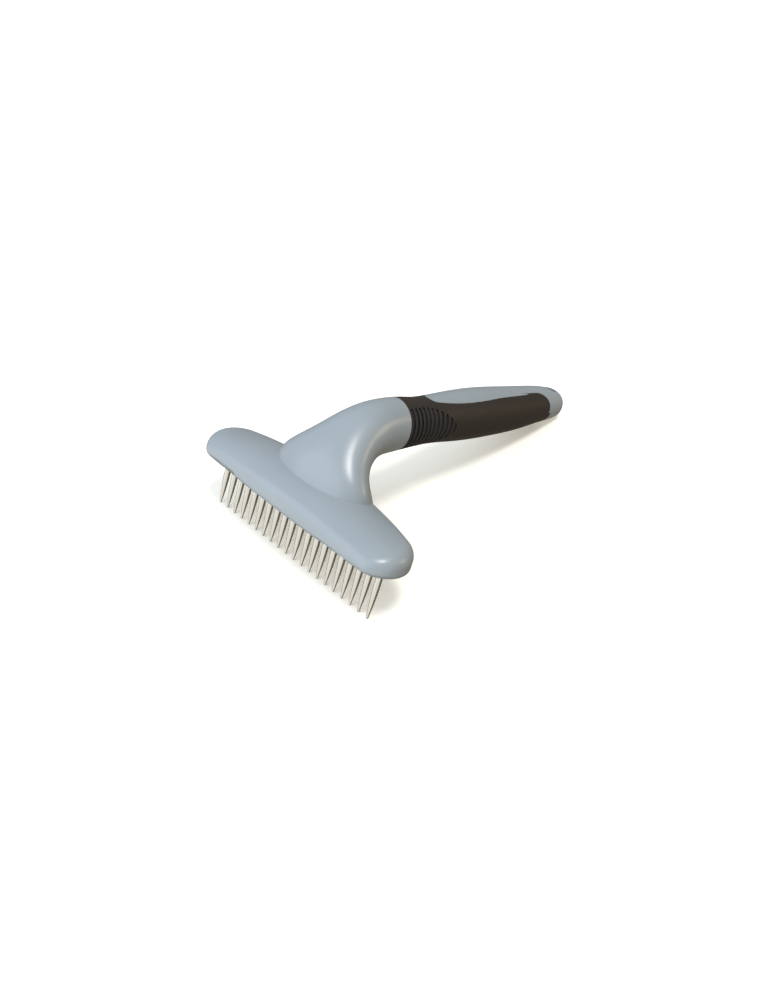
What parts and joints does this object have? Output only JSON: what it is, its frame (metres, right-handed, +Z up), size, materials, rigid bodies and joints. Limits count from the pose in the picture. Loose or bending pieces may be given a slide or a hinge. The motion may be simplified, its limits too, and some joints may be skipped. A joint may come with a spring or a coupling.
{
  "type": "undercoat rake",
  "caption": "Hand rake for a dense coat: a row of freely turning steel pins in a wide head on a rubber-covered handle.",
  "frame": {"origin": "on the surface the rake rests on, under the middle of its bounding box, with the pin tips and the tail down", "axes": "+Z up, +X from the head towards the tail, Y along the head bar"},
  "size_m": [0.159, 0.1086, 0.0513],
  "materials": {
    "grey_abs": "satin moulded, light blue grey",
    "soft_rubber": "matt soft touch, dark brown black",
    "plate_abs": "satin moulded, grey",
    "pin_steel": "polished stainless steel",
    "screw_steel": "zinc plated"
  },
  "bodies": {
    "rake": {"handle_core": "grey_abs", "rubber_grip": "soft_rubber", "head_bar": "grey_abs", "pin_plate": "plate_abs", "retainer_strip": "plate_abs", "plate_screws": "screw_steel", "neck_screws": "screw_steel"},
    "turning_pin_01": {"pin_01": "pin_steel"},
    "turning_pin_02": {"pin_02": "pin_steel"},
    "turning_pin_03": {"pin_03": "pin_steel"},
    "turning_pin_04": {"pin_04": "pin_steel"},
    "turning_pin_05": {"pin_05": "pin_steel"},
    "turning_pin_06": {"pin_06": "pin_steel"},
    "turning_pin_07": {"pin_07": "pin_steel"},
    "turning_pin_08": {"pin_08": "pin_steel"},
    "turning_pin_09": {"pin_09": "pin_steel"},
    "turning_pin_10": {"pin_10": "pin_steel"},
    "turning_pin_11": {"pin_11": "pin_steel"},
    "turning_pin_12": {"pin_12": "pin_steel"},
    "turning_pin_13": {"pin_13": "pin_steel"},
    "turning_pin_14": {"pin_14": "pin_steel"},
    "turning_pin_15": {"pin_15": "pin_steel"},
    "turning_pin_16": {"pin_16": "pin_steel"},
    "turning_pin_17": {"pin_17": "pin_steel"},
    "turning_pin_18": {"pin_18": "pin_steel"},
    "turning_pin_19": {"pin_19": "pin_steel"},
    "turning_pin_20": {"pin_20": "pin_steel"}
  },
  "joints": [
    {"name": "pin_01_spin", "type": "hinge", "parent": "rake", "child": "turning_pin_01", "pos_m": [-0.07152, -0.04512, 0.01035], "axis": [0.3463, 0, 0.9381], "continuous": true},
    {"name": "pin_02_spin", "type": "hinge", "parent": "rake", "child": "turning_pin_02", "pos_m": [-0.07152, -0.04038, 0.01035], "axis": [0.3463, 0, 0.9381], "continuous": true},
    {"name": "pin_03_spin", "type": "hinge", "parent": "rake", "child": "turning_pin_03", "pos_m": [-0.07152, -0.03562, 0.01035], "axis": [0.3463, 0, 0.9381], "continuous": true},
    {"name": "pin_04_spin", "type": "hinge", "parent": "rake", "child": "turning_pin_04", "pos_m": [-0.07152, -0.03087, 0.01035], "axis": [0.3463, 0, 0.9381], "continuous": true},
    {"name": "pin_05_spin", "type": "hinge", "parent": "rake", "child": "turning_pin_05", "pos_m": [-0.07152, -0.02612, 0.01035], "axis": [0.3463, 0, 0.9381], "continuous": true},
    {"name": "pin_06_spin", "type": "hinge", "parent": "rake", "child": "turning_pin_06", "pos_m": [-0.07152, -0.02138, 0.01035], "axis": [0.3463, 0, 0.9381], "continuous": true},
    {"name": "pin_07_spin", "type": "hinge", "parent": "rake", "child": "turning_pin_07", "pos_m": [-0.07152, -0.01663, 0.01035], "axis": [0.3463, 0, 0.9381], "continuous": true},
    {"name": "pin_08_spin", "type": "hinge", "parent": "rake", "child": "turning_pin_08", "pos_m": [-0.07152, -0.01188, 0.01035], "axis": [0.3463, 0, 0.9381], "continuous": true},
    {"name": "pin_09_spin", "type": "hinge", "parent": "rake", "child": "turning_pin_09", "pos_m": [-0.07152, -0.00713, 0.01035], "axis": [0.3463, 0, 0.9381], "continuous": true},
    {"name": "pin_10_spin", "type": "hinge", "parent": "rake", "child": "turning_pin_10", "pos_m": [-0.07152, -0.00237, 0.01035], "axis": [0.3463, 0, 0.9381], "continuous": true},
    {"name": "pin_11_spin", "type": "hinge", "parent": "rake", "child": "turning_pin_11", "pos_m": [-0.07152, 0.00237, 0.01035], "axis": [0.3463, 0, 0.9381], "continuous": true},
    {"name": "pin_12_spin", "type": "hinge", "parent": "rake", "child": "turning_pin_12", "pos_m": [-0.07152, 0.00713, 0.01035], "axis": [0.3463, 0, 0.9381], "continuous": true},
    {"name": "pin_13_spin", "type": "hinge", "parent": "rake", "child": "turning_pin_13", "pos_m": [-0.07152, 0.01188, 0.01035], "axis": [0.3463, 0, 0.9381], "continuous": true},
    {"name": "pin_14_spin", "type": "hinge", "parent": "rake", "child": "turning_pin_14", "pos_m": [-0.07152, 0.01663, 0.01035], "axis": [0.3463, 0, 0.9381], "continuous": true},
    {"name": "pin_15_spin", "type": "hinge", "parent": "rake", "child": "turning_pin_15", "pos_m": [-0.07152, 0.02138, 0.01035], "axis": [0.3463, 0, 0.9381], "continuous": true},
    {"name": "pin_16_spin", "type": "hinge", "parent": "rake", "child": "turning_pin_16", "pos_m": [-0.07152, 0.02612, 0.01035], "axis": [0.3463, 0, 0.9381], "continuous": true},
    {"name": "pin_17_spin", "type": "hinge", "parent": "rake", "child": "turning_pin_17", "pos_m": [-0.07152, 0.03087, 0.01035], "axis": [0.3463, 0, 0.9381], "continuous": true},
    {"name": "pin_18_spin", "type": "hinge", "parent": "rake", "child": "turning_pin_18", "pos_m": [-0.07152, 0.03562, 0.01035], "axis": [0.3463, 0, 0.9381], "continuous": true},
    {"name": "pin_19_spin", "type": "hinge", "parent": "rake", "child": "turning_pin_19", "pos_m": [-0.07152, 0.04038, 0.01035], "axis": [0.3463, 0, 0.9381], "continuous": true},
    {"name": "pin_20_spin", "type": "hinge", "parent": "rake", "child": "turning_pin_20", "pos_m": [-0.07152, 0.04512, 0.01035], "axis": [0.3463, 0, 0.9381], "continuous": true}
  ]
}
